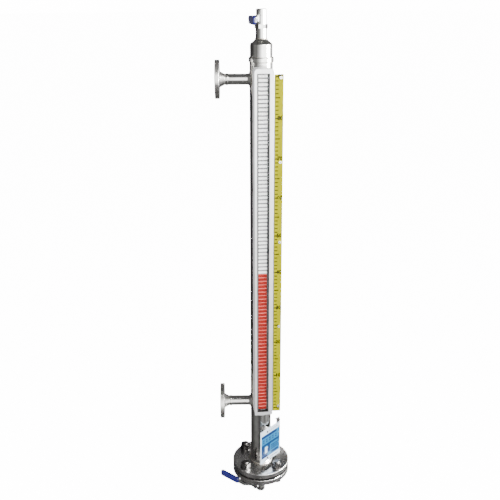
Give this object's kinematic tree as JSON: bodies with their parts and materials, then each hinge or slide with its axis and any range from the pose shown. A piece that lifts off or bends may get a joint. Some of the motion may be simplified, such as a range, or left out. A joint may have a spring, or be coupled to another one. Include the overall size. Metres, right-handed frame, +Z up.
{
  "type": "magnetic tank level gauge",
  "caption": "Side-mounted float chamber with two flanged pipes, a magnetic flap indicator with ruler, a flanged foot and ball valves for venting and draining.",
  "frame": {"origin": "centre of the lower side flange's sealing face, where the gauge bolts to the tank", "axes": "+Z up along the float chamber; the side flanges face -X; the flap indicator looks towards -Y, turned 5 degrees towards +X"},
  "size_m": [0.1981, 0.205, 1.366],
  "materials": {
    "tube_steel": "polished stainless steel",
    "flange_steel": "machined stainless steel",
    "bolt_steel": "darkened steel",
    "valve_steel": "cast stainless steel, satin",
    "blue_grip": "royal blue dipped plastic",
    "seat_plastic": "white fluoropolymer",
    "gasket_rubber": "black sheet rubber",
    "float_steel": "thin stainless sheet",
    "magnet": "sintered magnet",
    "housing_metal": "pale satin",
    "window_clear": "clear pane",
    "white_plastic": "white flap face",
    "red_plastic": "red flap face",
    "ruler_yellow": "yellow enamel with black graduations",
    "fastener_steel": "bright steel",
    "plate_blue": "printed plate, blue on white"
  },
  "bodies": {
    "gauge": {"bezel": "housing_metal", "blind_flange": "flange_steel", "bracket_rivets": "fastener_steel", "chamber_tube": "tube_steel", "drain_body": "valve_steel", "drain_end_piece": "valve_steel", "drain_nipple": "tube_steel", "drain_packing_nut": "valve_steel", "drain_seats": "seat_plastic", "ear_screw": "bolt_steel", "end_flange": "flange_steel", "flange_bolts": "bolt_steel", "flange_gasket": "gasket_rubber", "flange_nuts": "bolt_steel", "flange_washers": "bolt_steel", "flap_channel": "housing_metal", "housing_box": "housing_metal", "lower_buffer": "gasket_rubber", "lower_flange": "flange_steel", "lower_nozzle": "tube_steel", "mount_bar": "housing_metal", "mount_screws": "bolt_steel", "nameplate": "plate_blue", "nameplate_bracket": "housing_metal", "nameplate_rivets": "fastener_steel", "red_flaps": "red_plastic", "ruler": "ruler_yellow", "ruler_bracket": "housing_metal", "ruler_screws": "fastener_steel", "top_cap": "tube_steel", "top_collar": "tube_steel", "upper_buffer": "gasket_rubber", "upper_flange": "flange_steel", "upper_nozzle": "tube_steel", "vent_body": "valve_steel", "vent_end_piece": "valve_steel", "vent_nipple": "tube_steel", "vent_packing_nut": "valve_steel", "vent_seats": "seat_plastic", "white_flaps": "white_plastic", "window_glass": "window_clear"},
    "float": {"float_tube": "float_steel", "float_top_cap": "float_steel", "float_bottom_cap": "float_steel", "float_magnet": "magnet"},
    "vent_handle": {"vent_ball": "valve_steel", "vent_stem": "valve_steel", "vent_lever": "valve_steel", "vent_sleeve": "blue_grip", "vent_lever_nut": "valve_steel"},
    "drain_handle": {"drain_ball": "valve_steel", "drain_stem": "valve_steel", "drain_lever": "valve_steel", "drain_sleeve": "blue_grip", "drain_lever_nut": "valve_steel"}
  },
  "joints": [
    {"name": "float_travel", "type": "slide", "parent": "gauge", "child": "float", "axis": [0, 0, 1], "range_m": [-0.44, 0.506]},
    {"name": "vent_turn", "type": "hinge", "parent": "gauge", "child": "vent_handle", "pos_m": [0.1135, 0, 1.044], "axis": [-0.9903, -0.1392, 0], "range_deg": [0, 90]},
    {"name": "drain_turn", "type": "hinge", "parent": "gauge", "child": "drain_handle", "pos_m": [0.1135, 0, -0.277], "axis": [-0.6293, -0.7771, 0], "range_deg": [0, 90]}
  ]
}
